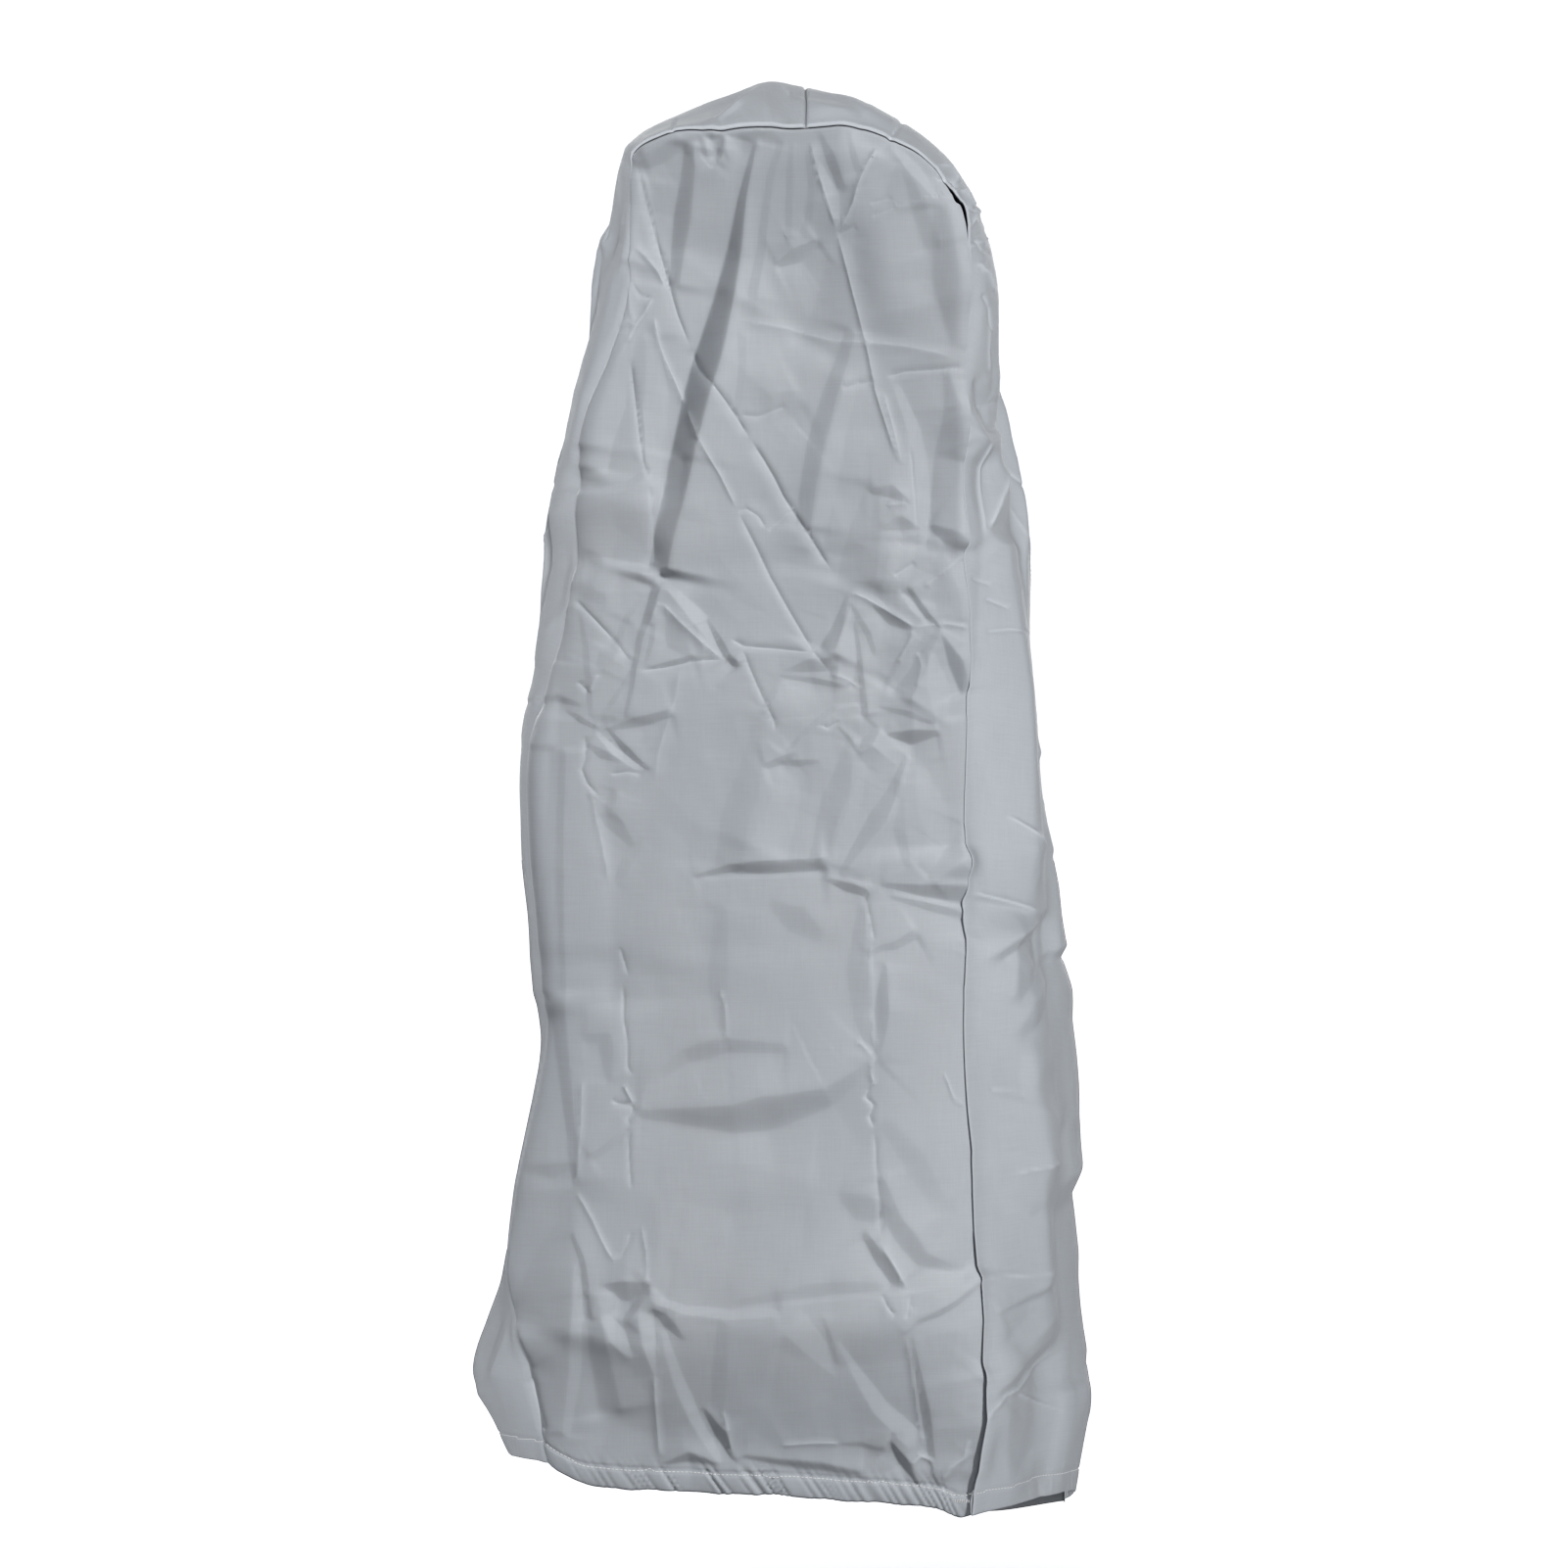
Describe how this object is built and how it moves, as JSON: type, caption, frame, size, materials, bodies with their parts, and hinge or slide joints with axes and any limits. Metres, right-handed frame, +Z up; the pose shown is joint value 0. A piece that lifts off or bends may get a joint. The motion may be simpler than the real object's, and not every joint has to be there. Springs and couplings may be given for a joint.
{
  "type": "guitar dust cover",
  "caption": "Tall tapered cloth dust cover for a guitar on its stand, hollow and open below, with front and back panels, an arched gusset and a gathered hem.",
  "frame": {"origin": "under the top ridge, where the head of what is covered holds the cover up", "axes": "+Z up along the height, the front faces -Y, +X to the right seen from the front"},
  "size_m": [0.484, 0.2051, 1.1505],
  "materials": {
    "cover_cloth": "light grey closely woven synthetic taffeta with a soft satin sheen, packing creases and pale thread"
  },
  "bodies": {
    "root": {"front_panel": "cover_cloth", "back_panel": "cover_cloth", "gusset_left": "cover_cloth", "gusset_right": "cover_cloth"}
  },
  "joints": []
}
